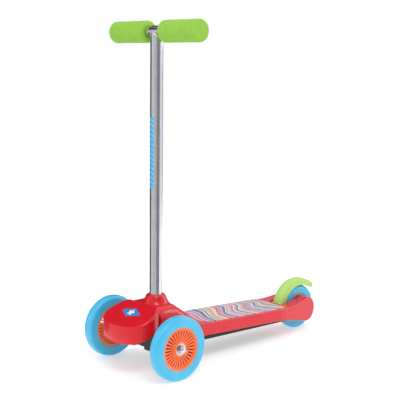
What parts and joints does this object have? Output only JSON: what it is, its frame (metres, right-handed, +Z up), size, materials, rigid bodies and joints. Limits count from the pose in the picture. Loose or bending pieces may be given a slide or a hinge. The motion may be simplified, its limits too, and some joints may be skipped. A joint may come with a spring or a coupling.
{
  "type": "kick scooter",
  "caption": "Child's kick scooter with two front wheels on a lean-to-steer truck, a T-bar in a socket, a printed deck and a fender brake over the rear wheel.",
  "frame": {"origin": "on the floor, under the centre of the bounding box", "axes": "+Z up, -Y towards the front, +X towards the rider's left"},
  "size_m": [0.2414, 0.5394, 0.6479],
  "materials": {
    "red_shell": "glossy moulded polypropylene",
    "black_tray": "matt moulded polypropylene",
    "black_nylon": "glass-filled nylon",
    "printed_mat": "printed non-slip sheet with wavy stripes",
    "badge": "printed sticker",
    "sky_tyre": "smooth polyurethane",
    "orange_hub": "moulded nylon",
    "bearing_steel": "ground",
    "zinc_steel": "zinc plated",
    "spring_steel": "drawn wire and strip",
    "bushing_rubber": "moulded",
    "chrome_tube": "bright plated",
    "green_foam": "closed-cell foam",
    "green_brake": "moulded plastic"
  },
  "bodies": {
    "deck": {"deck_shell": "red_shell", "deck_mat": "printed_mat", "nose_cowl": "red_shell", "nose_badge": "badge", "underpan": "black_tray", "stem_sleeve": "black_nylon", "steering_bracket": "zinc_steel", "bracket_screws": "zinc_steel", "nose_screws": "zinc_steel", "pan_screws": "zinc_steel", "kingpin": "zinc_steel", "kingpin_nut": "zinc_steel", "rear_axle": "zinc_steel", "rear_axle_nut": "zinc_steel", "rear_spacers": "zinc_steel", "rear_inner_races": "bearing_steel", "rear_bearing_sleeve": "zinc_steel", "brake_pin": "zinc_steel", "brake_spring": "spring_steel"},
    "truck": {"axle_carrier": "black_nylon", "front_axle": "zinc_steel", "axle_spacers": "zinc_steel", "axle_washers": "zinc_steel", "axle_nuts": "chrome_tube", "upper_bushing": "bushing_rubber", "lower_bushing": "bushing_rubber", "left_inner_races": "bearing_steel", "left_bearing_sleeve": "zinc_steel", "right_inner_races": "bearing_steel", "right_bearing_sleeve": "zinc_steel"},
    "left_wheel": {"left_tyre": "sky_tyre", "left_hub": "orange_hub", "left_outer_races": "bearing_steel", "left_bearing_balls": "bearing_steel", "left_bearing_shields": "bearing_steel"},
    "right_wheel": {"right_tyre": "sky_tyre", "right_hub": "orange_hub", "right_outer_races": "bearing_steel", "right_bearing_balls": "bearing_steel", "right_bearing_shields": "bearing_steel"},
    "rear_wheel": {"rear_tyre": "sky_tyre", "rear_hub": "orange_hub", "rear_outer_races": "bearing_steel", "rear_bearing_balls": "bearing_steel", "rear_bearing_shields": "bearing_steel"},
    "t_bar": {"stem_tube": "chrome_tube", "crossbar": "chrome_tube", "left_grip": "green_foam", "right_grip": "green_foam"},
    "snap_button": {"snap_button": "spring_steel"},
    "brake": {"brake_fender": "green_brake"}
  },
  "joints": [
    {"name": "truck_lean", "type": "hinge", "parent": "deck", "child": "truck", "pos_m": [0, -0.17275, 0.06], "axis": [0, -0.766, 0.6428], "range_deg": [-9, 9], "stiffness_Nm_per_rad": 80},
    {"name": "left_wheel_spin", "type": "hinge", "parent": "truck", "child": "left_wheel", "pos_m": [0.0995, -0.20275, 0.06], "axis": [1, 0, 0], "continuous": true},
    {"name": "right_wheel_spin", "type": "hinge", "parent": "truck", "child": "right_wheel", "pos_m": [-0.0995, -0.20275, 0.06], "axis": [1, 0, 0], "continuous": true},
    {"name": "rear_wheel_spin", "type": "hinge", "parent": "deck", "child": "rear_wheel", "pos_m": [0, 0.22225, 0.0475], "axis": [1, 0, 0], "continuous": true},
    {"name": "brake_press", "type": "hinge", "parent": "deck", "child": "brake", "pos_m": [0, 0.16625, 0.057], "axis": [-1, 0, 0], "range_deg": [0, 3.6], "stiffness_Nm_per_rad": 1.5, "springref_deg": -14.32, "deforming": ["brake_spring"]},
    {"name": "t_bar_lift", "type": "slide", "parent": "deck", "child": "t_bar", "axis": [0, 0, 1], "range_m": [0, 0.06], "deforming": ["snap_button"]},
    {"name": "snap_button_press", "type": "slide", "parent": "t_bar", "child": "snap_button", "axis": [0, -1, 0], "range_m": [0, 0.0075], "stiffness_N_per_m": 600, "springref_m": -0.002}
  ]
}
